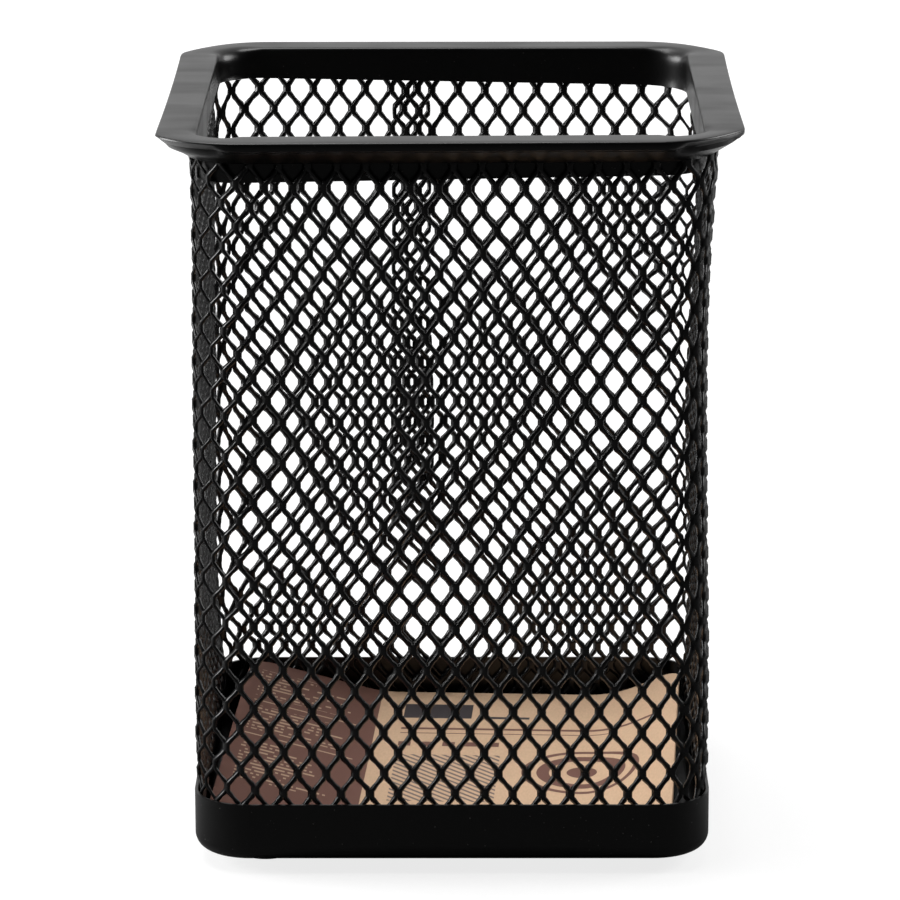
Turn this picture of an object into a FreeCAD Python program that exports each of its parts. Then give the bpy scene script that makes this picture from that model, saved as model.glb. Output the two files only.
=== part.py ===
"""Square desk pen cup: expanded-metal wall, folded steel rim, pressed steel base pan and stick-on feet.

Millimetres, +Z up, front towards -Y. The origin is on the desk, under the middle of the cup.
Every ring-shaped piece shares the same four corner centres, so a piece is placed by its
distance from the middle to its wall, and its corners follow.
"""
import FreeCAD
import Part
import math
import os

# ---- driving dimensions ------------------------------------------------------------------
overall_height = 102.0        # desk to the top of the rim
rim_width = 78.0              # outside of the square rim
rim_corner_radius = 11.5      # outside corner of the rim, seen from above

# rim: one strip of sheet steel, folded over the top edge of the mesh
rim_sheet = 0.4               # sheet thickness
flange_width = 5.4            # flat top of the rim, outer edge to opening
rim_top_bend = 0.8            # outside radius where the flat top turns down into the skirt
rim_nose_radius = 0.7         # outside radius of the rolled outer edge
skirt_depth = 5.6             # how far the inner skirt reaches below the rim's top
lip_slope = 31.0              # degrees the folded-under lip drops towards the mesh

# wall: expanded steel sheet, long way of the mesh upright
mesh_thickness = 0.75         # flattened depth of the strands
mesh_pitch_x = 3.86           # spacing of neighbouring bonds along a row
mesh_pitch_z = 5.8            # spacing of rows of the same bonds
strand_width = 0.72           # width of a slanting strand
bond_width = 1.0              # width of a bond, where two strands meet
bond_length = 0.9             # upright length of a bond
first_row = 4.27              # first full row of openings above the cut bottom edge

# base pan: pressed from sheet steel, its skirt outside the mesh
pan_sheet = 0.4
pan_height = 8.2              # bottom face to the skirt's top edge
pan_bend = 2.2                # outside radius between floor and skirt

# feet: round self-adhesive rubber pads
foot_height = 1.6
foot_radius = 4.0
foot_edge_radius = 0.6        # rounding of the pad's lower edge
foot_setback = 13.4           # rim's outer edge to the middle of a pad
front_right_shift = 3.0       # how much further back the front right pad was stuck

# insert: loose printed card lying in the pan, its side edges curled up
card_width = 61.0
card_length = 61.0
card_thickness = 0.5
card_corner_radius = 4.0
card_curl_run = 15.0          # width of the curled band along each side edge
card_curl_rise = 4.0          # how far a side edge stands above the middle
card_tilt = 2.4               # degrees, back edge higher
card_turn = -3.0              # degrees about the upright axis
card_offset_x = 0.6

# clearances
mesh_on_skirt = 0.05          # mesh outside the rim's inner skirt
lip_off_mesh = 0.05           # lip's edge outside the mesh
pan_off_mesh = 0.05           # pan's skirt outside the mesh
mesh_above_bend = 0.2         # mesh's cut edge above the bend inside the pan
mesh_below_rim = 1.2          # mesh's cut edge below the underside of the flat top
card_above_floor = 0.05

# ---- derived places -----------------------------------------------------------------------
rim_half = rim_width / 2
core = rim_half - rim_corner_radius           # corner centres lie at (+-core, +-core)
opening_half = rim_half - flange_width
mesh_inner = opening_half + rim_sheet + mesh_on_skirt
mesh_outer = mesh_inner + mesh_thickness
pan_inner = mesh_outer + pan_off_mesh
pan_outer = pan_inner + pan_sheet
pan_top = foot_height + pan_height
floor_top = foot_height + pan_sheet
mesh_bottom = foot_height + pan_bend + mesh_above_bend
mesh_top = overall_height - rim_sheet - mesh_below_rim
bend_radius = (mesh_inner + mesh_outer) / 2 - core        # mid-sheet radius of a mesh corner
bend_length = math.pi / 2 * bend_radius

# The pattern closes on itself: the pitch is fitted so that a whole number of columns goes
# round, the same number on each side.
side_columns = round((2 * core + bend_length) / mesh_pitch_x)
column = (2 * core + bend_length) / side_columns
wall_columns = int(core / column)             # columns each side of a flat wall's middle
wall_half = wall_columns * column             # a flat wall ends on a line of bonds
corner_columns = side_columns - 2 * wall_columns

UP = FreeCAD.Vector(0, 0, 1)


def rounded_square(half, z, height):
    """Prism with a rounded-square plan whose corners are centred on the shared centres."""
    radius = half - core
    block = Part.makeBox(2 * half, 2 * half, height, FreeCAD.Vector(-half, -half, z))
    upright = [edge for edge in block.Edges if abs(edge.tangentAt(edge.FirstParameter).z) > 0.9]
    return block.makeFillet(radius, upright)


def rim_section():
    """Closed section of the folded rim, in the XZ plane; X is measured from the corner centre."""
    skirt_x = opening_half - core
    top = overall_height
    nose = FreeCAD.Vector(rim_half - core - rim_nose_radius, 0, top - rim_nose_radius)
    bend = FreeCAD.Vector(skirt_x + rim_top_bend, 0, top - rim_top_bend)
    slope = math.radians(lip_slope)
    along_lip = FreeCAD.Vector(-math.cos(slope), 0, -math.sin(slope))
    off_lip = FreeCAD.Vector(math.sin(slope), 0, -math.cos(slope))
    lip_x = mesh_outer - core + lip_off_mesh

    def polar(centre, radius, degrees):
        angle = math.radians(degrees)
        return centre + FreeCAD.Vector(radius * math.cos(angle), 0, radius * math.sin(angle))

    def skin(depth):
        """Line of the sheet at a depth below its outside face, from skirt to lip."""
        foot = FreeCAD.Vector(skirt_x + depth, 0, top - skirt_depth)
        bend_start = polar(bend, rim_top_bend - depth, 180)
        bend_end = polar(bend, rim_top_bend - depth, 90)
        nose_start = polar(nose, rim_nose_radius - depth, 90)
        nose_end = nose + off_lip * (rim_nose_radius - depth)
        lip_end = nose_end + along_lip * ((nose_end.x - lip_x) / math.cos(slope))
        return [
            Part.LineSegment(foot, bend_start).toShape(),
            Part.Arc(bend_start, polar(bend, rim_top_bend - depth, 135), bend_end).toShape(),
            Part.LineSegment(bend_end, nose_start).toShape(),
            Part.Arc(nose_start, polar(nose, rim_nose_radius - depth, 15), nose_end).toShape(),
            Part.LineSegment(nose_end, lip_end).toShape(),
        ], foot, lip_end

    outside, outer_foot, outer_end = skin(0)
    inside, inner_foot, inner_end = skin(rim_sheet)
    cut_edges = [
        Part.LineSegment(outer_foot, inner_foot).toShape(),
        Part.LineSegment(outer_end, inner_end).toShape(),
    ]
    return Part.Face(Part.Wire(Part.__sortEdges__(outside + inside + cut_edges)))


def ring(section):
    """Carry a section round the rounded square: four straight runs and four turned corners."""
    run = section.copy()
    run.translate(FreeCAD.Vector(core, -core, 0))
    straight = run.extrude(FreeCAD.Vector(0, 2 * core, 0))
    turn = section.copy()
    turn.translate(FreeCAD.Vector(core, core, 0))
    corner = turn.revolve(FreeCAD.Vector(core, core, 0), UP, 90)
    quarters = []
    for quarter in range(4):
        for piece in (straight, corner):
            copy = piece.copy()
            copy.rotate(FreeCAD.Vector(), UP, 90 * quarter)
            quarters.append(copy)
    return quarters[0].multiFuse(quarters[1:]).removeSplitter()


def make_rim():
    return ring(rim_section())


def make_base_pan():
    def shell(half, z, bend_size):
        body = rounded_square(half, z, pan_top - z)
        floor_edges = [edge for edge in body.Edges if edge.BoundBox.ZMax < z + 1e-6]
        return body.makeFillet(bend_size, floor_edges)

    outside = shell(pan_outer, foot_height, pan_bend)
    inside = shell(pan_inner, floor_top, pan_bend - pan_sheet)
    return outside.cut(inside)


def opening_outline():
    """Six corners (across, up) of one opening of the mesh, centred on zero."""
    half_width = (column - bond_width) / 2
    rise = (mesh_pitch_z / 2 - bond_length) / (column / 2)       # slope of a strand
    strand_up = strand_width / 2 * math.hypot(1, rise)           # half strand, measured upright
    half_height = (mesh_pitch_z - bond_length) / 2 - strand_up
    side = half_height - rise * half_width                       # half of the upright side
    return [
        (0, half_height),
        (half_width, side),
        (half_width, -side),
        (0, -half_height),
        (-half_width, -side),
        (-half_width, side),
    ]


def opening_places(first, last):
    """(column steps, height) of every opening between two column lines, half columns apart."""
    places = []
    for half_step in range(2 * first, 2 * last + 1):
        height = mesh_bottom + first_row - mesh_pitch_z
        if half_step % 2:
            height -= mesh_pitch_z / 2
        while height < mesh_top + mesh_pitch_z / 2:
            places.append((half_step / 2, height))
            height += mesh_pitch_z
    return places


def closed_wire(points):
    return Part.makePolygon(points + points[:1])


def make_mesh_wall():
    """Flat front wall of expanded sheet, from bond line to bond line."""
    sheet = Part.Face(closed_wire([
        FreeCAD.Vector(-wall_half, -mesh_outer, mesh_bottom),
        FreeCAD.Vector(wall_half, -mesh_outer, mesh_bottom),
        FreeCAD.Vector(wall_half, -mesh_outer, mesh_top),
        FreeCAD.Vector(-wall_half, -mesh_outer, mesh_top),
    ]))
    whole = []
    cut_through = []
    outline = opening_outline()
    reach_x = max(x for x, z in outline)
    reach_z = max(z for x, z in outline)
    for step, height in opening_places(-wall_columns, wall_columns):
        across = step * column
        wire = closed_wire([FreeCAD.Vector(across + x, -mesh_outer, height + z) for x, z in outline])
        inside_across = abs(across) + reach_x < wall_half
        if inside_across and mesh_bottom + reach_z < height < mesh_top - reach_z:
            whole.append(wire)
        else:
            cut_through.append(Part.Face(wire))
    notched = sheet.cut(Part.makeCompound(cut_through)).Faces[0]
    pierced = Part.Face([notched.OuterWire] + whole)
    return pierced.extrude(FreeCAD.Vector(0, mesh_thickness, 0))


def make_mesh_corner():
    """Bent front right corner of the wall, from the front wall's last bond line to the right wall's."""
    flat = core - wall_half
    height = mesh_top - mesh_bottom
    outer = Part.makeCylinder(mesh_outer - core, height, FreeCAD.Vector(core, -core, mesh_bottom), UP, 90)
    inner = Part.makeCylinder(mesh_inner - core, height, FreeCAD.Vector(core, -core, mesh_bottom), UP, 90)
    bent = outer.cut(inner)
    bent.rotate(FreeCAD.Vector(core, -core, 0), UP, -90)
    front_flat = Part.makeBox(flat, mesh_thickness, height, FreeCAD.Vector(wall_half, -mesh_outer, mesh_bottom))
    right_flat = Part.makeBox(mesh_thickness, flat, height, FreeCAD.Vector(mesh_inner, -core, mesh_bottom))
    strip = bent.multiFuse([front_flat, right_flat]).removeSplitter()

    outline = opening_outline()
    punches = []
    for step, centre_z in opening_places(0, corner_columns):
        along = step * column
        turned = min(max((along - flat) / bend_radius, 0), math.pi / 2)
        past_bend = along - flat - turned * bend_radius
        outward = FreeCAD.Vector(math.sin(turned), -math.cos(turned), 0)
        sideways = FreeCAD.Vector(math.cos(turned), math.sin(turned), 0)
        place = FreeCAD.Vector(core, -core, centre_z) + outward * (mesh_inner - core - mesh_thickness)
        place += sideways * past_bend
        wire = closed_wire([place + sideways * x + UP * z for x, z in outline])
        punches.append(Part.Face(wire).extrude(outward * (3 * mesh_thickness)))
    return strip.cut(punches)


def make_foot():
    pad = Part.makeCylinder(foot_radius, foot_height)
    lower_edge = [edge for edge in pad.Edges if edge.BoundBox.ZMax < 1e-6]
    return pad.makeFillet(foot_edge_radius, lower_edge)


def make_card():
    """Card bent to a shallow trough: flat in the middle, both side edges curled up on an arc."""
    half = card_width / 2
    arc_radius = (card_curl_run ** 2 + card_curl_rise ** 2) / (2 * card_curl_rise)
    sweep = math.asin(card_curl_run / arc_radius)
    flat_half = half - card_curl_run

    def face_line(radius, z):
        """Lower or upper line of the section, left to right, at a radius of the curled bands."""
        edges = []
        ends = []
        for side in (-1, 1):
            centre = FreeCAD.Vector(side * flat_half, 0, arc_radius)
            start = FreeCAD.Vector(side * flat_half, 0, z)
            middle = centre + FreeCAD.Vector(side * radius * math.sin(sweep / 2), 0, -radius * math.cos(sweep / 2))
            end = centre + FreeCAD.Vector(side * radius * math.sin(sweep), 0, -radius * math.cos(sweep))
            edges.append(Part.Arc(start, middle, end).toShape())
            ends.append(end)
        edges.append(Part.LineSegment(FreeCAD.Vector(-flat_half, 0, z), FreeCAD.Vector(flat_half, 0, z)).toShape())
        return edges, ends

    lower, lower_ends = face_line(arc_radius, 0)
    upper, upper_ends = face_line(arc_radius - card_thickness, card_thickness)
    edge_cuts = [Part.LineSegment(a, b).toShape() for a, b in zip(lower_ends, upper_ends)]
    section = Part.Face(Part.Wire(Part.__sortEdges__(lower + upper + edge_cuts)))
    section.translate(FreeCAD.Vector(0, -card_length / 2, 0))
    card = section.extrude(FreeCAD.Vector(0, card_length, 0))

    blank = Part.makeBox(card_width, card_length, 2 * card_curl_rise + 4 * card_thickness,
                         FreeCAD.Vector(-half, -card_length / 2, -card_thickness))
    upright = [edge for edge in blank.Edges if abs(edge.tangentAt(edge.FirstParameter).z) > 0.9]
    card = card.common(blank.makeFillet(card_corner_radius, upright))

    card.rotate(FreeCAD.Vector(), FreeCAD.Vector(1, 0, 0), card_tilt)
    card.rotate(FreeCAD.Vector(), UP, card_turn)
    card.translate(FreeCAD.Vector(card_offset_x, 0, floor_top + card_above_floor - card.BoundBox.ZMin))
    return card


def turned_copy(shape, degrees):
    copy = shape.copy()
    copy.rotate(FreeCAD.Vector(), UP, degrees)
    return copy


def build():
    nodes = {"rim": make_rim(), "base_pan": make_base_pan(), "card_insert": make_card()}

    wall = make_mesh_wall()
    for index, side in enumerate(("front", "right", "back", "left")):
        nodes["mesh_wall_" + side] = turned_copy(wall, 90 * index)

    corner = make_mesh_corner()
    for index, name in enumerate(("front_right", "back_right", "back_left", "front_left")):
        nodes["mesh_corner_" + name] = turned_copy(corner, 90 * index)

    reach = rim_half - foot_setback
    foot_places = {
        "front_left": (-reach, -reach),
        "front_right": (reach, -reach + front_right_shift),
        "back_right": (reach, reach),
        "back_left": (-reach, reach),
    }
    foot = make_foot()
    for name, (x, y) in foot_places.items():
        pad = foot.copy()
        pad.translate(FreeCAD.Vector(x, y, 0))
        nodes["foot_" + name] = pad
    return nodes


os.makedirs("parts", exist_ok=True)
for node, shape in build().items():
    print(node, "solids", len(shape.Solids), "volume %.1f mm3" % shape.Volume)
    shape.exportStep("parts/%s.step" % node)
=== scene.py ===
import math

import bpy
import numpy as np
from mathutils import Matrix, Vector, noise


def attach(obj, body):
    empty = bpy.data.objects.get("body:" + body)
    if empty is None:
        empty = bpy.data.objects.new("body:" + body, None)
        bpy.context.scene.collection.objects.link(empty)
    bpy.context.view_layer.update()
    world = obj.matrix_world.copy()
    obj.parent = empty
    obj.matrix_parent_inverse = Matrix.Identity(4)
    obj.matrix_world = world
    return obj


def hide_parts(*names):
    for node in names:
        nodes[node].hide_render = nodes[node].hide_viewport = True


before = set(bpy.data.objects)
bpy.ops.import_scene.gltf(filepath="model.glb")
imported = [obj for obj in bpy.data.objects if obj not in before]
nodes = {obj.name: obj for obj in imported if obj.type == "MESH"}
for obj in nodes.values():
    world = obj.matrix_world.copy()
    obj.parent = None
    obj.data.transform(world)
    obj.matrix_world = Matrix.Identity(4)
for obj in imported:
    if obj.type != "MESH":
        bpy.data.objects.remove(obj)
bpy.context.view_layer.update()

MM = 0.001

# ---- camera ------------------------------------------------------------------------------
# A long lens standing well back from the cup, a little above its rim and almost square on to
# the front wall. The small turn and roll are the tripod's.
camera_distance = 709.0 * MM
camera_aim = Vector((-0.308, 0.0, 50.58)) * MM
camera_turn = math.radians(-0.31)
camera_drop = math.radians(14.265)
camera_roll = math.radians(-0.118)

look = Vector((math.sin(camera_turn) * math.cos(camera_drop),
               math.cos(camera_turn) * math.cos(camera_drop),
               -math.sin(camera_drop)))
level = Vector((math.cos(camera_turn), -math.sin(camera_turn), 0.0))
upright = level.cross(look)
across = level * math.cos(camera_roll) + upright * math.sin(camera_roll)
upward = upright * math.cos(camera_roll) - level * math.sin(camera_roll)
stand = camera_aim - look * camera_distance

camera_data = bpy.data.cameras.new("camera")
camera = bpy.data.objects.new("camera", camera_data)
bpy.context.scene.collection.objects.link(camera)
camera_data.sensor_width = 36.0
camera_data.lens = 201.9
camera_data.clip_start = 0.05
camera_data.clip_end = 20.0
placed = Matrix((across, upward, -look)).transposed().to_4x4()
placed.translation = stand
camera.matrix_world = placed
bpy.context.scene.camera = camera

# ---- mesh wall ---------------------------------------------------------------------------
# One sheet of expanded steel: slit, pulled open so that its strands turn on edge like louvres,
# bent round four corners and lapped over itself in the back wall. Powder coated black.
corner_centre = 27.5        # the corners of the cup share centres at this reach from the middle
sheet_half = 34.26          # middle of the sheet's depth, from the cup's middle
half_column = 1.929         # from one column of bonds to the next
row = 5.8                   # from a bond to the next one above it
strand_width = 0.63         # wide face of a strand
strand_thickness = 0.38     # narrow edge of a strand, coating included
tilt = math.radians(38)     # turn of every strand out of the sheet
bond_length = 0.78
bend_rise = 0.36            # short bend between a bond and the slope of a strand
bend_run = 0.14
fillet = 1.16               # swelling of a strand where its slope turns into a bond
slope_coat = 0.90           # the slopes were drawn thinner than the bonds as the sheet was pulled open
sheet_bottom = 4.0
sheet_top = 100.4
columns = 138               # half columns from one cut end of the sheet to the other
rows_made = 18

bend_radius = sheet_half - corner_centre
side_length = 2 * corner_centre + math.pi / 2 * bend_radius


def clear_selection():
    if bpy.context.object and bpy.context.object.mode != "OBJECT":
        bpy.ops.object.mode_set(mode="OBJECT")
    bpy.ops.object.select_all(action="DESELECT")


def pick(obj):
    clear_selection()
    obj.select_set(True)
    bpy.context.view_layer.objects.active = obj


def settle(obj):
    """Puts a piece's place, turn and size into its mesh."""
    pick(obj)
    bpy.ops.object.transform_apply(location=True, rotation=True, scale=True)


def apply_modifiers(obj):
    pick(obj)
    for modifier in list(obj.modifiers):
        bpy.ops.object.modifier_apply(modifier=modifier.name)


def select_faces(obj, wanted):
    """Opens edit mode with just the faces selected whose centre and normal are wanted."""
    bpy.ops.object.mode_set(mode="EDIT")
    bpy.ops.mesh.select_mode(type="FACE")
    bpy.ops.mesh.select_all(action="DESELECT")
    bpy.ops.object.mode_set(mode="OBJECT")
    for face in obj.data.polygons:
        face.select = wanted(face.center, face.normal)
    bpy.ops.object.mode_set(mode="EDIT")


# One strand over one row, standing on the right half of a bond, which is its outer half. It
# slopes to the left half of the next bond, turning about the depth of the sheet, and back.
across_half = strand_width / 2 * math.cos(tilt)
out_half = strand_width / 2 * math.sin(tilt)
slope_run = half_column - 2 * across_half - 2 * bend_run
slope_rise = row / 2 - bond_length - 2 * bend_rise
lean = math.atan2(slope_run, slope_rise)
total_run = slope_run + 2 * bend_run
inward = 2 * out_half / total_run              # depth gained for each step across

clear_selection()
bpy.ops.mesh.primitive_plane_add(size=1.0, location=(0, 0, 0))
wall = bpy.context.object
wall.name = "mesh_wall"
wall.scale = (strand_width, strand_thickness, 1.0)
settle(wall)
wall.rotation_euler.z = -tilt
wall.location = (across_half, -out_half, -bond_length / 2)
settle(wall)
bpy.ops.object.mode_set(mode="EDIT")
bpy.ops.mesh.select_all(action="SELECT")
here = Vector((across_half, -out_half, -bond_length / 2))
for way in (1, -1):
    for rise, run, turned, swell in (
            (bond_length, 0, 0, 1), (bend_rise, bend_run, 1, fillet),
            (slope_rise / 2, slope_run / 2, 0, slope_coat / fillet),
            (slope_rise / 2, slope_run / 2, 0, fillet / slope_coat),
            (bend_rise, bend_run, -1, 1 / fillet)):
        step = Vector((way * run, way * run * inward, rise))
        here = here + step
        bpy.ops.mesh.extrude_region_move(TRANSFORM_OT_translate={"value": step})
        bpy.ops.transform.resize(value=(swell, swell, swell), center_override=here)
        if turned:
            bpy.ops.transform.rotate(value=-way * turned * lean, orient_axis="Y", center_override=here)
bpy.ops.object.mode_set(mode="OBJECT")


def joins_on(centre, normal):
    """Whether a face is an end of the row, or the side where a bond joins it to its neighbour."""
    at_first_bond = abs(centre.z) < 0.01 or abs(centre.z - row) < 0.01
    at_next_bond = abs(centre.z - row / 2) < 0.01
    return (abs(normal.z) > 0.99 or (normal.x < -0.5 and normal.y > 0.5 and at_first_bond)
            or (normal.x > 0.5 and normal.y < -0.5 and at_next_bond))


select_faces(wall, joins_on)
bpy.ops.mesh.delete(type="FACE")
bpy.ops.object.mode_set(mode="OBJECT")

for name, shift, count in (("beside", (half_column, 0, row / 2), 2),
                           ("along", (2 * half_column, 0, 0), columns // 2),
                           ("upwards", (0, 0, row), rows_made)):
    copies = wall.modifiers.new(name, "ARRAY")
    copies.use_relative_offset = False
    copies.use_constant_offset = True
    copies.constant_offset_displace = shift
    copies.count = count
apply_modifiers(wall)

pick(wall)
bpy.ops.object.mode_set(mode="EDIT")
bpy.ops.mesh.select_mode(type="VERT")
bpy.ops.mesh.select_all(action="SELECT")
bpy.ops.mesh.remove_doubles(threshold=0.01)
bpy.ops.mesh.select_all(action="SELECT")
bpy.ops.mesh.fill_holes(sides=4)
bpy.ops.object.mode_set(mode="OBJECT")


def corners_of(mesh):
    """Every vertex's place, as an array with one row for each."""
    place = np.zeros(len(mesh.vertices) * 3)
    mesh.vertices.foreach_get("co", place)
    return place.reshape(-1, 3)


def put_corners(mesh, place):
    mesh.vertices.foreach_set("co", place.ravel())
    mesh.update()


# The sheet was never pulled quite evenly. How far its columns and rows have crept from an even
# pattern, by height, in the front wall and in the back wall's two ends; the side walls share it.
creep_height = (10, 28, 46, 64, 82, 100)
front_creep = ((0.05, 0.03, 0.04, 0.04, -0.09, -0.25), (0.10, 0.10, 0.11, -0.19, -0.23, -0.25))
first_end_creep = ((1.10, 0.12, 0.04, -0.14, 0.0, 0.0), (1.05, -0.20, 0.46, 0.98, 0.75, 0.80))
last_end_creep = ((-0.60, -0.50, -0.02, -0.17, 0.0, 0.0), (0.73, 0.88, 0.70, 0.68, 0.45, 0.57))

# Where a few columns lie along the wall, counted from the sheet's first cut end, the outer one in
# the lap. Lengths run counter-clockwise from the middle of the front wall.
known_column = (0, 12, 52, 80, 119, 138)
known_length = (3.1 - 2 * side_length, 26.0 - 2 * side_length, -26.5, 27.5,
                2 * side_length - 27.5, 2 * side_length + 8.9)
first_bond_height = 5.2 - row

flat = corners_of(wall.data)
column = flat[:, 0] / half_column
height = flat[:, 2] + first_bond_height
length = np.interp(column, known_column, known_length)
in_front = np.interp(column, (12, 52, 80, 119), (0, 1, 1, 0))
in_first_end = np.interp(column, (12, 52), (1, 0))
in_last_end = np.interp(column, (80, 119), (0, 1))


def crept(table):
    return np.interp(height, creep_height, table)


# Its columns stand a little further apart low down than near the top.
spread_front = np.interp(height, (20, 92), (0.0085, -0.008))
spread_back = np.interp(height, (12, 95), (0.025, -0.010))
first_end_x = -(length + 2 * side_length)      # across the cup, as seen on the back wall
last_end_x = -(length - 2 * side_length)
front_slip = crept(front_creep[0]) + spread_front * np.clip(length, -28, 28)
first_end_slip = crept(first_end_creep[0]) + spread_back * np.clip(first_end_x + 18, -10, 16)
last_end_slip = crept(last_end_creep[0]) + spread_back * np.clip(last_end_x - 12, -21, 16)
length = length + in_front * front_slip - in_first_end * first_end_slip - in_last_end * last_end_slip
height = (height + in_front * crept(front_creep[1]) + in_first_end * crept(first_end_creep[1])
          + in_last_end * crept(last_end_creep[1]))

# Its rows climb a little towards the front corners.
climb_left = np.interp(length, (-70, -40, -30, -22), (0, 0.95, 0.8, 0))
climb_right = np.interp(length, (22, 30, 40, 70), (0, 0.5, 0.6, 0)) * np.interp(height, (35, 60), (0, 1))
height = height + climb_left + climb_right

# No two openings are quite alike.
tremor_along, tremor_up = 0.16, 0.14
noise.seed_set(5)                              # the same tremor in every run
for index in range(len(flat)):
    tremor = noise.noise_vector(Vector((column[index] * 0.42, height[index] * 0.16, 3.7)))
    length[index] += tremor.x * tremor_along
    height[index] += tremor.y * tremor_up
flat[:, 0] = length
flat[:, 2] = height
put_corners(wall.data, flat)

# Shear the sheet to height; its cut strands are closed.
pick(wall)
for cut_height, away in ((sheet_bottom, (0, 0, -1)), (sheet_top, (0, 0, 1))):
    bpy.ops.object.mode_set(mode="EDIT")
    bpy.ops.mesh.select_all(action="SELECT")
    bpy.ops.mesh.bisect(plane_co=(0, 0, cut_height), plane_no=away, use_fill=True, clear_outer=True)
    bpy.ops.object.mode_set(mode="OBJECT")

# Bend it round the cup. The fold of the rim has crushed its top edge thinner, and its last end
# lies inside the first.
crushed_to = 0.6            # share of the sheet's depth left inside the fold
lap_step = 0.7              # how far in the lapped end lies
flat = corners_of(wall.data)
length, depth, height = flat[:, 0], -flat[:, 1], flat[:, 2]
half_depth = 2 * out_half + strand_thickness / 2 * math.cos(tilt)
crush = np.interp(height, (93.0, 96.5), (1.0, crushed_to))
depth = half_depth - (half_depth - depth) * crush
lapped = np.interp(length, (2 * side_length + 1.0, 2 * side_length + 4.0), (0.0, 1.0))
depth = depth - lap_step * lapped * crush

side = np.floor((length + corner_centre) / side_length)
run = length + corner_centre - side * side_length
bend = np.clip(run - 2 * corner_centre, 0, None) / bend_radius
reach = bend_radius + depth
side_x = np.where(bend > 0, corner_centre, run - corner_centre) + reach * np.sin(bend)
side_y = -corner_centre - reach * np.cos(bend)
turn = side * math.pi / 2
round_x = side_x * np.cos(turn) - side_y * np.sin(turn)
round_y = side_x * np.sin(turn) + side_y * np.cos(turn)
facing = turn + bend                           # 0 looks to the front, a quarter turn to the right
out_x, out_y = np.sin(facing), -np.cos(facing)

# The side walls belly in and out a little, and the fold of the rim has spread them at the top.
belly_heights = (4, 9.8, 14, 28, 36, 44, 52, 60, 68, 76, 84, 92, 96.4, 100.4)
belly_right = (0, 0.02, 0.33, 0.33, 0.2, 0.03, -0.1, -0.24, -0.29, -0.26, 0.0, 0.5, 0.8, 0.9)
belly_left = (0, 0.02, 0.3, 0.28, 0.22, 0.13, 0.1, 0.1, 0.05, -0.02, -0.1, -0.15, 0.05, 0.15)
to_right = np.interp(height, belly_heights, belly_right)
to_left = np.interp(height, belly_heights, belly_left)
belly = to_right * np.clip(out_x, 0, 1) + to_left * np.clip(-out_x, 0, 1)
round_x = round_x + out_x * belly
round_y = round_y + out_y * belly

# They also stand wider apart towards the back, between the pan and the rim.
wide_heights = (9.8, 14, 28, 44, 52, 60, 68, 76, 84, 90, 94, 98.2)
wider_left = (0, 0.3, 0.72, 0.76, 0.70, 0.66, 0.65, 0.66, 0.65, 0.64, 0.5, 0)
wider_right = (0, 0.1, 0.25, 0.15, 0.2, 0.6, 1.0, 1.5, 1.35, 0.35, -0.3, 0)
wider = np.where(round_x > 0, np.interp(height, wide_heights, wider_right),
                 -np.interp(height, wide_heights, wider_left))
share = np.where(round_y > corner_centre, np.interp(np.abs(round_x), (26, 31), (0, 1)),
                 np.interp(round_y, (-corner_centre, corner_centre), (0, 1)))
round_x = round_x + wider * share
put_corners(wall.data, np.stack((round_x, round_y, height), axis=1) * MM)
pick(wall)
bpy.ops.object.mode_set(mode="EDIT")
bpy.ops.mesh.select_all(action="SELECT")
bpy.ops.mesh.normals_make_consistent(inside=False)
bpy.ops.object.mode_set(mode="OBJECT")
bpy.ops.object.shade_smooth()


def speckle(tree, place, scale, detail):
    """Smooth random values over a piece."""
    node = tree.nodes.new("ShaderNodeTexNoise")
    node.inputs["Scale"].default_value = scale
    node.inputs["Detail"].default_value = detail
    tree.links.new(place, node.inputs["Vector"])
    return node.outputs["Fac"]


def ramp(tree, value, span, result):
    """Runs over the result's range while the value runs over the span."""
    node = tree.nodes.new("ShaderNodeMapRange")
    node.inputs["From Min"].default_value, node.inputs["From Max"].default_value = span
    node.inputs["To Min"].default_value, node.inputs["To Max"].default_value = result
    tree.links.new(value, node.inputs["Value"])
    return node.outputs["Result"]


def coat(name, colour, roughness, grain, relief, dust=0.0):
    """Black stoved powder coat: fine orange peel over the steel, a soft sheen, a little dust."""
    material = bpy.data.materials.new(name)
    material.use_nodes = True
    tree = material.node_tree
    shader = tree.nodes["Principled BSDF"]
    place = tree.nodes.new("ShaderNodeTexCoord").outputs["Object"]
    peel = tree.nodes.new("ShaderNodeBump")
    peel.inputs["Strength"].default_value = 0.5
    peel.inputs["Distance"].default_value = relief * MM
    tree.links.new(speckle(tree, place, 1 / (grain * MM), 3.0), peel.inputs["Height"])
    tree.links.new(peel.outputs["Normal"], shader.inputs["Normal"])
    sheen = ramp(tree, speckle(tree, place, 140.0, 4.0), (0, 1), (roughness - 0.05, roughness + 0.05))
    tree.links.new(sheen, shader.inputs["Roughness"])
    settled = ramp(tree, speckle(tree, place, 2600.0, 1.0), (0.76, 0.80), (0, dust))
    tint = tree.nodes.new("ShaderNodeMix")
    tint.data_type = "RGBA"
    tint.inputs["A"].default_value = (*colour, 1.0)
    tint.inputs["B"].default_value = (0.35, 0.34, 0.33, 1.0)
    tree.links.new(settled, tint.inputs["Factor"])
    tree.links.new(tint.outputs["Result"], shader.inputs["Base Color"])
    shader.inputs["Specular IOR Level"].default_value = 0.4
    return material


mesh_coat = coat("mesh_coat", (0.0050, 0.0048, 0.0050), 0.27, 0.35, 0.001)
wall.data.materials.append(mesh_coat)
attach(wall, "cup")
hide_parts("mesh_wall_front", "mesh_wall_right", "mesh_wall_back", "mesh_wall_left",
            "mesh_corner_front_right", "mesh_corner_back_right", "mesh_corner_back_left",
            "mesh_corner_front_left")

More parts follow.
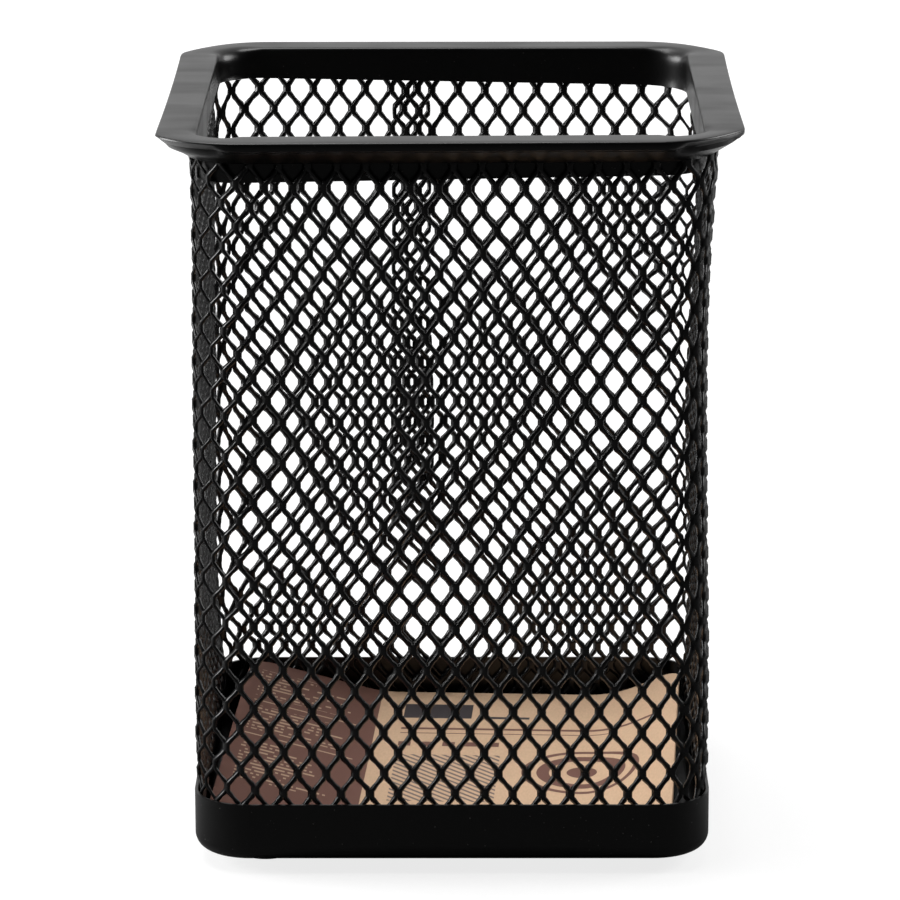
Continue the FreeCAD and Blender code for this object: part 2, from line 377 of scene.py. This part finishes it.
# ---- rim ---------------------------------------------------------------------------------
# One strip of sheet steel folded over the top edge of the mesh: a skirt inside, a flat top, a
# rolled nose and a lip tucked back under against the mesh. The fold has bunched at the corners.
rim_top = 102.0
rim_half = 39.0
opening_half = 33.6
rim_sheet = 0.4
skirt_depth = 5.6
top_bend = 0.45             # outside bend from the skirt to the top
edge_bend = 0.28            # and from the top to the nose
nose_bend = 0.40            # and round the nose to the lip
nose_middle = (38.58, -0.80)
lip_slope = 31              # degrees
lip_end = 34.86             # the lip's edge, just outside the mesh
corner_steps = 18
side_steps = 5              # along half of one side

# The skin of the strip, from the foot of the skirt over the top to the edge of the lip, as
# distance from the middle of the cup and height under the rim's top.
strip = [(opening_half, -drop) for drop in (skirt_depth, 5.2, 4.7, 4.1, 3.4, 2.6, 1.9, 1.3, 0.85)]


def bend_in_strip(middle, size, turns):
    """Points of one bend of the strip, at turns in degrees round the bend's middle."""
    return [(middle[0] + size * math.cos(math.radians(turn)),
             middle[1] + size * math.sin(math.radians(turn))) for turn in turns]


strip += bend_in_strip((opening_half + top_bend, -top_bend), top_bend, (180, 150, 120, 90))
strip += [(34.5, 0), (35.0, 0), (35.7, 0), (37.2, 0)]
strip += bend_in_strip((rim_half - edge_bend, -edge_bend), edge_bend, (90, 60, 30, 0))
strip += bend_in_strip(nose_middle, nose_bend, (0, -30, -60, lip_slope - 90))
lip_start = strip[-1]
for share in (0.33, 0.66, 1.0):
    inward_run = (lip_start[0] - lip_end) * share
    strip.append((lip_start[0] - inward_run,
                  lip_start[1] - inward_run * math.tan(math.radians(lip_slope))))

clear_selection()
bpy.ops.mesh.primitive_plane_add(size=1.0, location=(strip[0][0], 0, rim_top + strip[0][1]))
rim = bpy.context.object
rim.name = "rim_strip"
settle(rim)
bpy.ops.object.mode_set(mode="EDIT")
bpy.ops.mesh.select_mode(type="VERT")
bpy.ops.mesh.select_all(action="SELECT")
bpy.ops.mesh.merge(type="CENTER")
for (from_x, from_z), (to_x, to_z) in zip(strip, strip[1:]):
    step = (to_x - from_x, 0, to_z - from_z)
    bpy.ops.mesh.extrude_region_move(TRANSFORM_OT_translate={"value": step})
bpy.ops.mesh.select_all(action="SELECT")
for stretch in range(side_steps):
    bpy.ops.mesh.extrude_region_move(TRANSFORM_OT_translate={"value": (0, corner_centre / side_steps, 0)})
bpy.ops.mesh.spin(steps=corner_steps, angle=-math.pi / 2,
                  center=(corner_centre, corner_centre, 0), axis=(0, 0, 1))
for stretch in range(side_steps):
    bpy.ops.mesh.extrude_region_move(TRANSFORM_OT_translate={"value": (-corner_centre / side_steps, 0, 0)})
bpy.ops.object.mode_set(mode="OBJECT")
quarters = rim.modifiers.new("quarters", "MIRROR")
quarters.use_axis = (True, True, False)
quarters.merge_threshold = 0.001
apply_modifiers(rim)

# How the strip took the corners, by degrees turned from the side wall to the front or back wall:
# its outer edge ran straighter than an arc, and was drawn out at the front left.
turned_by = (0, 8, 14, 20, 30, 40, 50, 60, 75, 90)
outer_edge = (0.0, 0.1, 0.05, -0.2, -0.55, -0.7, -0.65, -0.5, -0.25, 0.0)
front_left_edge = (0.0, 0.22, 0.5, 0.75, 0.85, 0.6, 0.35, 0.1, 0.0, 0.0)
ring = corners_of(rim.data)
x, y, drop = ring[:, 0], ring[:, 1], ring[:, 2] - rim_top
past_x = np.clip(np.abs(x) - corner_centre, 0, None)
past_y = np.clip(np.abs(y) - corner_centre, 0, None)
in_corner = (past_x > 1e-4) & (past_y > 1e-4)
reach = np.where(in_corner, np.hypot(past_x, past_y), np.maximum(past_x, past_y))
turn = np.where(in_corner, np.degrees(np.arctan2(past_y, past_x)), np.where(past_x > past_y, 0.0, 90.0))
angle = np.radians(turn)
opening_reach = opening_half - corner_centre
edge_reach = rim_half - corner_centre
edge = np.where((x < 0) & (y < 0), np.interp(turn, turned_by, front_left_edge),
                np.interp(turn, turned_by, outer_edge))
square_edge = edge_reach / np.maximum(np.cos(angle), np.sin(angle)) - edge_reach
edge = np.minimum(edge, square_edge)           # never past the straight sides

# The top of the skirt stretched over a softer bend there, and its foot turned in a little.
soft_bend = 2.1
foot_turned_in = 0.2
skirt_reach = 6.4           # the skirt lies within this reach of the corners' centres
soft = np.interp(turn, (0, 30, 60, 90), (0, 1, 1, 0))
here = np.clip(((reach - opening_reach) + drop + soft_bend) / (2 * soft_bend), 0, 1)
at_bend = (reach < opening_reach + soft_bend) & (drop > -soft_bend)
around = math.pi - here * math.pi / 2
share = np.where(at_bend, soft, 0)
reach = reach + (opening_reach + soft_bend + soft_bend * np.cos(around) - reach) * share
drop = drop + (-soft_bend + soft_bend * np.sin(around) - drop) * share
on_skirt = reach < skirt_reach
reach = reach - foot_turned_in * soft * on_skirt * np.clip((-drop - 4.2) / 1.3, 0, 1) ** 2

# The fold bunched up and was pinched under, on a slope from just below the outer edge.
pinch_from, pinch_slope = -0.30, 1.43
on_outside = np.clip((reach - 9.0) / 2.0, 0, 1)
bunched = np.interp(turn, (8, 16, 72, 80), (0, 1, 1, 0))
pinched = edge_reach - pinch_slope * np.clip(pinch_from - drop, 0, None)
under = (reach > 10.0) & (drop < pinch_from) & (reach > pinched)
reach = reach + np.where(under, (pinched - reach) * bunched, 0)
reach = reach + edge * on_outside

# The lip stops against the mesh, which stands further out on the right.
mesh_further = np.where(x > 0, 0.80, 0.10) * np.where(turn < 45, np.cos(2 * angle).clip(0, 1), 0)
on_lip = (drop < -1.6) & (reach < 11.2) & (reach > 7.2)
lip_share = np.where(on_lip, np.clip((10.9 - reach) / 3.5, 0, 1), 0)
reach = reach + mesh_further * lip_share
drop = drop + mesh_further * lip_share * math.tan(math.radians(lip_slope))

# The left and right sides bow inward a little, the skirt wasn't cut to an even depth, and the
# whole rim sits lower at the front left corner.
side_bow = 0.16
lower_corner = 0.32
along_side = np.where(in_corner, corner_centre, np.minimum(np.abs(x), np.abs(y)))
bow = side_bow * (1 - (np.minimum(along_side, corner_centre) / corner_centre) ** 2)
reach = reach - bow * (np.abs(x) > np.abs(y)) * np.clip((reach - 7) / 4, 0, 1)
sheared = np.where(y < 0, -0.25 + 0.45 * x / opening_half, 0.65 - 0.65 * x / opening_half)
foot_share = np.where((reach < skirt_reach) & (drop < -3), np.clip((-drop - 3.0) / 2.6, 0, 1), 0)
drop = drop + sheared * foot_share
leftward = np.clip(0.5 - x / (2 * rim_half), 0, 1)
forward = np.clip(0.5 - y / (2 * rim_half), 0, 1)
height = rim_top + drop - lower_corner * leftward * forward

on_side_wall = past_x > past_y
new_x = np.where(in_corner, np.sign(x) * (corner_centre + reach * np.cos(angle)),
                 np.where(on_side_wall, np.sign(x) * (corner_centre + reach), x))
new_y = np.where(in_corner, np.sign(y) * (corner_centre + reach * np.sin(angle)),
                 np.where(on_side_wall, y, np.sign(y) * (corner_centre + reach)))
put_corners(rim.data, np.stack((new_x, new_y, height), axis=1) * MM)

pick(rim)
bpy.ops.object.mode_set(mode="EDIT")
bpy.ops.mesh.select_all(action="SELECT")
bpy.ops.mesh.normals_make_consistent(inside=False)
bpy.ops.object.mode_set(mode="OBJECT")
outward = max(rim.data.polygons, key=lambda face: face.center.z).normal.z > 0
sheet = rim.modifiers.new("sheet", "SOLIDIFY")
sheet.thickness = rim_sheet * MM
sheet.offset = -1.0 if outward else 1.0
apply_modifiers(rim)
pick(rim)
bpy.ops.object.mode_set(mode="EDIT")
bpy.ops.mesh.select_all(action="SELECT")
bpy.ops.mesh.normals_make_consistent(inside=False)
bpy.ops.object.mode_set(mode="OBJECT")
bpy.ops.object.shade_smooth_by_angle(angle=math.radians(50))

# Its coat is wiped and handled: long dull smudges lie over the sheen.
rim_coat = coat("rim_coat", (0.0014, 0.0013, 0.0014), 0.30, 0.5, 0.006, dust=0.2)
tree = rim_coat.node_tree
roughness = tree.nodes["Principled BSDF"].inputs["Roughness"]
sheen = roughness.links[0].from_socket
wiped = tree.nodes.new("ShaderNodeMapping")
wiped.inputs["Scale"].default_value = (70.0, 170.0, 70.0)
tree.links.new(tree.nodes.new("ShaderNodeTexCoord").outputs["Object"], wiped.inputs["Vector"])
marks = ramp(tree, speckle(tree, wiped.outputs["Vector"], 1.0, 1.5), (0.46, 0.78), (0.0, 0.12))
smudged = tree.nodes.new("ShaderNodeMath")
smudged.operation = "ADD"
tree.links.new(sheen, smudged.inputs[0])
tree.links.new(marks, smudged.inputs[1])
tree.links.new(smudged.outputs["Value"], roughness)
rim.data.materials.append(rim_coat)
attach(rim, "cup")
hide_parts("rim")

# ---- base pan ----------------------------------------------------------------------------
# A shallow tray pressed from sheet steel, its skirt outside the foot of the mesh. It has the same
# powder coat as the rest, with more dust on it.
pan_coat = coat("pan_coat", (0.0022, 0.0021, 0.0022), 0.30, 0.5, 0.006, dust=0.4)
nodes["base_pan"].data.materials.clear()
nodes["base_pan"].data.materials.append(pan_coat)

# ---- feet --------------------------------------------------------------------------------
# Four round pads of dull black rubber, stuck under the corners of the pan so that the cup
# doesn't slide or scratch.
foot_rubber = coat("foot_rubber", (0.03, 0.03, 0.03), 0.75, 0.2, 0.02)
for name in ("foot_front_left", "foot_front_right", "foot_back_right", "foot_back_left"):
    nodes[name].data.materials.clear()
    nodes[name].data.materials.append(foot_rubber)

# ---- card --------------------------------------------------------------------------------
# A loose card of thin kraft board lying in the pan, one panel printed brown all over and the
# rest with plain bars, rules and rings. Its two outer panels have sprung up along their creases.
card_left, card_right = -32.5, 32.7            # flat size across, from the card's middle
card_length = 63.8
card_thickness = 0.45
card_corner = 3.4
left_crease, right_crease = -12.3, 21.8
left_lift, right_lift = math.radians(14.4), math.radians(22.0)
card_tilt = math.radians(2.4)                  # its back edge rests higher
card_turn = math.radians(-3.2)
card_height = 2.07                             # lowest point, just over the floor of the pan

clear_selection()
bpy.ops.mesh.primitive_plane_add(size=1.0, location=((card_left + card_right) / 2, 0, 0))
card = bpy.context.object
card.name = "card"
card.scale = (card_right - card_left, card_length, 1)
settle(card)
bpy.ops.object.mode_set(mode="EDIT")
bpy.ops.mesh.select_all(action="SELECT")
bpy.ops.mesh.bevel(offset=card_corner, offset_type="OFFSET", segments=6, affect="VERTICES")
for cut in np.arange(card_left + 1.3, card_right - 1.0, 1.3):
    bpy.ops.mesh.select_all(action="SELECT")
    bpy.ops.mesh.bisect(plane_co=(cut, 0, 0), plane_no=(1, 0, 0))
for cut in np.linspace(-27, 27, 10):
    bpy.ops.mesh.select_all(action="SELECT")
    bpy.ops.mesh.bisect(plane_co=(0, cut, 0), plane_no=(0, 1, 0))
bpy.ops.object.mode_set(mode="OBJECT")

# The print is laid out on the flat card, in a square 66 mm wide.
print_size = 66.0
printed = card.data.uv_layers.new(name="print")
for corner in card.data.loops:
    spot = card.data.vertices[corner.vertex_index].co
    printed.data[corner.index].uv = (spot.x / print_size + 0.5, spot.y / print_size + 0.5)
board = card.modifiers.new("board", "SOLIDIFY")
board.thickness = card_thickness
board.offset = 1.0
worn_edge = card.modifiers.new("worn_edge", "BEVEL")
worn_edge.width = 0.08
worn_edge.segments = 2
worn_edge.limit_method = "ANGLE"
apply_modifiers(card)

# Spring the outer panels up: the slope grows across a few millimetres at each crease.
flat = corners_of(card.data)
along_card = np.linspace(card_left - 1, card_right + 1, 1400)
slope = (right_lift * np.clip((along_card - right_crease + 3.5) / 7, 0, 1.12)
         - left_lift * np.clip((left_crease - along_card + 2.5) / 5, 0, 1.0))
step = along_card[1] - along_card[0]
sprung_x = np.cumsum(np.cos(slope)) * step
sprung_z = np.cumsum(np.sin(slope)) * step
sprung_x -= np.interp(0, along_card, sprung_x)
sprung_z -= np.interp(0, along_card, sprung_z)
here_slope = np.interp(flat[:, 0], along_card, slope)
spot_x = np.interp(flat[:, 0], along_card, sprung_x) - flat[:, 2] * np.sin(here_slope)
spot_z = np.interp(flat[:, 0], along_card, sprung_z) + flat[:, 2] * np.cos(here_slope)
put_corners(card.data, np.stack((spot_x, flat[:, 1], spot_z), axis=1))
card.rotation_euler = (card_tilt, 0, card_turn)
settle(card)
lowest = min(vertex.co.z for vertex in card.data.vertices)
card.location = (0, 0.15, card_height - lowest)
card.scale = (MM, MM, MM)
card.location *= MM
settle(card)
bpy.ops.object.shade_smooth_by_angle(angle=math.radians(40))

kraft = (0.60, 0.405, 0.262, 1)
brown_ink = (0.150, 0.068, 0.050, 1)
dark_ink = (0.040, 0.032, 0.034, 1)
pale_print = (0.46, 0.31, 0.21, 1)
card_print = bpy.data.materials.new("printed_card")
card_print.use_nodes = True
tree = card_print.node_tree
add_node = tree.nodes.new
link = tree.links.new
shader = tree.nodes["Principled BSDF"]


def math_of(operation, first, second, third=None):
    """A Math node of two or three numbers or sockets."""
    node = add_node("ShaderNodeMath")
    node.operation = operation
    for socket, value in zip(node.inputs, (first, second, third)):
        if isinstance(value, (int, float)):
            socket.default_value = value
        elif value is not None:
            link(value, socket)
    return node.outputs[0]


laid_out = add_node("ShaderNodeUVMap")
laid_out.uv_map = "print"
spot = add_node("ShaderNodeSeparateXYZ")
link(laid_out.outputs["UV"], spot.inputs["Vector"])
across_print = math_of("MULTIPLY_ADD", spot.outputs["X"], print_size, -print_size / 2)
up_print = math_of("MULTIPLY_ADD", spot.outputs["Y"], print_size, -print_size / 2)


def block(left, right, low, high):
    """1 inside a printed rectangle, in millimetres from the card's middle."""
    return math_of("MULTIPLY",
                  math_of("COMPARE", across_print, (left + right) / 2, (right - left) / 2),
                  math_of("COMPARE", up_print, (low + high) / 2, (high - low) / 2))


def either(masks):
    """1 where any of the masks is."""
    whole = masks[0]
    for mask in masks[1:]:
        whole = math_of("MAXIMUM", whole, mask)
    return whole


def ink(under, mask, colour):
    """Prints a colour over what is under it, where the mask is 1."""
    node = add_node("ShaderNodeMix")
    node.data_type = "RGBA"
    link(mask, node.inputs["Factor"])
    if isinstance(under, tuple):
        node.inputs["A"].default_value = under
    else:
        link(under, node.inputs["A"])
    if isinstance(colour, tuple):
        node.inputs["B"].default_value = colour
    else:
        link(colour, node.inputs["B"])
    return node.outputs["Result"]


# Board: brown fibres in paler pulp.
flat_place = add_node("ShaderNodeCombineXYZ")
link(across_print, flat_place.inputs["X"])
link(math_of("MULTIPLY", up_print, 0.35), flat_place.inputs["Y"])
fibres = add_node("ShaderNodeTexNoise")
fibres.inputs["Scale"].default_value = 3.2
fibres.inputs["Detail"].default_value = 5.0
link(flat_place.outputs["Vector"], fibres.inputs["Vector"])
pulp = math_of("MULTIPLY_ADD", fibres.outputs["Fac"], 1.6, -0.5)
dark_pulp = tuple(part * 0.90 for part in kraft[:3]) + (1,)
pale_pulp = tuple(part * 1.08 for part in kraft[:3]) + (1,)
paper = ink(dark_pulp, pulp, pale_pulp)

# Brown panel, with rows of tiny pale ticks.
brown_panel = math_of("LESS_THAN", across_print, left_crease)
paper = ink(paper, brown_panel, brown_ink)
row_count = math_of("DIVIDE", up_print, 1.25)
tick_row = math_of("FLOOR", row_count, 0)
in_row = math_of("COMPARE", math_of("FRACT", row_count, 0), 0.5, 0.22)
tick_place = add_node("ShaderNodeCombineXYZ")
link(math_of("FLOOR", math_of("DIVIDE", across_print, 0.42), 0), tick_place.inputs["X"])
link(tick_row, tick_place.inputs["Y"])
ticks = add_node("ShaderNodeTexWhiteNoise")
ticks.noise_dimensions = "2D"
link(tick_place.outputs["Vector"], ticks.inputs["Vector"])
row_place = add_node("ShaderNodeTexWhiteNoise")
row_place.noise_dimensions = "1D"
link(tick_row, row_place.inputs["W"])
row_end = math_of("MULTIPLY_ADD", row_place.outputs["Value"], 9.0, -25.0)
tick = math_of("MULTIPLY", in_row, math_of("GREATER_THAN", ticks.outputs["Value"], 0.38))
tick = math_of("MULTIPLY", tick, math_of("LESS_THAN", across_print, row_end))
tick_blocks = either([block(-30.5, -15, low, high) for low, high in ((17, 28), (3, 13), (-17, -1))])
paper = ink(paper, math_of("MULTIPLY", tick, tick_blocks), pale_print)
rules = [block(-30.5, -14.6, low, low + 0.4) for low in (14.8, 0.8)]
paper = ink(paper, either(rules), pale_print)

# Kraft panels: bars, rules, a hatched square and a pair of rings.
paper = ink(paper, either([block(-8.5, 1.5, 20.5, 26.5), block(3.0, 10.0, 20.5, 21.4)]), dark_ink)
paper = ink(paper, either([block(-8.5, 29.0, 15.6, 16.4), block(-8.5, 22.0, 13.9, 14.2)]), brown_ink)
squares = [block(middle - 0.9, middle + 0.9, 8.6, 10.4) for middle in (-7.6, -4.4, -1.2, 2.0, 5.2)]
paper = ink(paper, either(squares), brown_ink)
diagonal = math_of("DIVIDE", math_of("ADD", across_print, up_print), 1.5)
hatching = math_of("LESS_THAN", math_of("FRACT", diagonal, 0), 0.42)
hatch_ink = (0.16, 0.12, 0.105, 1)
paper = ink(paper, math_of("MULTIPLY", hatching, block(-8.5, 6.5, -14.0, 5.0)), hatch_ink)


def squared_from(place, middle):
    """Square of the distance, which the Math node takes of positive numbers only."""
    away = math_of("ABSOLUTE", math_of("SUBTRACT", place, middle), 0)
    return math_of("POWER", away, 2)


ring_squared = math_of("ADD", squared_from(across_print, 18.5), squared_from(up_print, -1.5))
from_ring = math_of("SQRT", ring_squared, 0)
rings = [math_of("COMPARE", from_ring, 8.2, 0.45), math_of("COMPARE", from_ring, 5.6, 0.9),
         math_of("LESS_THAN", from_ring, 2.2)]
paper = ink(paper, either(rings), brown_ink)
link(paper, shader.inputs["Base Color"])
tooth = add_node("ShaderNodeBump")
tooth.inputs["Strength"].default_value = 0.35
tooth.inputs["Distance"].default_value = 0.00004
link(fibres.outputs["Fac"], tooth.inputs["Height"])
link(tooth.outputs["Normal"], shader.inputs["Normal"])
shader.inputs["Roughness"].default_value = 0.78
shader.inputs["Specular IOR Level"].default_value = 0.3
card.data.materials.append(card_print)
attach(card, "card")
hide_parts("card_insert")

# ---- desk and light ----------------------------------------------------------------------
# A pale desk in a dark room with a pale backdrop behind it. The desk shows pale, but throws less
# light up in front of the cup than behind it, as one flagged from the front does. There is no flag:
# to all but camera rays the desk's colour is painted shade, dark in front and pale behind.
clear_selection()
bpy.ops.mesh.primitive_plane_add(size=6.0, location=(0, 0, -0.0001))
desk = bpy.context.object
desk.name = "desk"
settle(desk)
desk_paint = bpy.data.materials.new("desk_paint")
desk_paint.use_nodes = True
tree = desk_paint.node_tree
link = tree.links.new
place = tree.nodes.new("ShaderNodeTexCoord").outputs["Object"]
shader = tree.nodes["Principled BSDF"]
shader.inputs["Base Color"].default_value = (0.25, 0.25, 0.25, 1.0)
shader.inputs["Roughness"].default_value = 0.9
shader.inputs["Specular IOR Level"].default_value = 0.1
away = tree.nodes.new("ShaderNodeVectorMath")
away.operation = "LENGTH"
link(place, away.inputs[0])
lit = tree.nodes.new("ShaderNodeEmission")
lit.inputs["Color"].default_value = (1, 1, 1, 1)
link(ramp(tree, away.outputs["Value"], (0.35, 1.10), (0.80, 1.0)), lit.inputs["Strength"])
pale = tree.nodes.new("ShaderNodeAddShader")
link(shader.outputs["BSDF"], pale.inputs[0])
link(lit.outputs["Emission"], pale.inputs[1])
parts = tree.nodes.new("ShaderNodeSeparateXYZ")
link(place, parts.inputs["Vector"])
# Painted shade: the colour that bounced and reflected light sees runs from dark in front of the cup to
# pale behind it.
painted_shade_desk = tree.nodes.new("ShaderNodeBsdfDiffuse")
link(ramp(tree, parts.outputs["Y"], (-0.06, 0.10), (0.08, 0.50)), painted_shade_desk.inputs["Color"])
rays = tree.nodes.new("ShaderNodeLightPath")
chosen = tree.nodes.new("ShaderNodeMixShader")
link(rays.outputs["Is Camera Ray"], chosen.inputs["Fac"])
link(painted_shade_desk.outputs["BSDF"], chosen.inputs[1])
link(pale.outputs["Shader"], chosen.inputs[2])
link(chosen.outputs["Shader"], tree.nodes["Material Output"].inputs["Surface"])
desk.data.materials.append(desk_paint)

world = bpy.data.worlds.new("studio")
bpy.context.scene.world = world
world.use_nodes = True
tree = world.node_tree
link = tree.links.new
toward = tree.nodes.new("ShaderNodeTexCoord")
parts = tree.nodes.new("ShaderNodeSeparateXYZ")
link(toward.outputs["Generated"], parts.inputs["Vector"])
backdrop = ramp(tree, parts.outputs["Y"], (-0.20, 0.70), (0.04, 0.71))
backdrop.node.interpolation_type = "SMOOTHSTEP"
rays = tree.nodes.new("ShaderNodeLightPath")
strength = tree.nodes.new("ShaderNodeMix")
strength.data_type = "FLOAT"
link(rays.outputs["Is Camera Ray"], strength.inputs["Factor"])
link(backdrop, strength.inputs["A"])
strength.inputs["B"].default_value = 1.0
room = tree.nodes["Background"]
room.inputs["Color"].default_value = (1, 1, 1, 1)
link(strength.outputs["Result"], room.inputs["Strength"])


def softbox(name, place, width, height, watts):
    """A soft lamp aimed at the cup."""
    clear_selection()
    bpy.ops.object.light_add(type="AREA", location=place)
    lamp = bpy.context.object
    lamp.name = name
    lamp.data.shape = "RECTANGLE"
    lamp.data.size = width
    lamp.data.size_y = height
    lamp.data.energy = watts
    lamp.rotation_euler = (Vector((0, 0, 0.06)) - Vector(place)).to_track_quat("-Z", "Y").to_euler()


softbox("lamp_left", (-1.0, 0.12, 0.42), 0.6, 0.5, 13.0)
softbox("lamp_right", (0.95, 0.30, 0.64), 0.6, 0.5, 6.5)
softbox("lamp_above", (-0.20, 0.15, 1.05), 0.8, 0.6, 9.0)

bpy.context.scene.view_settings.view_transform = "Standard"
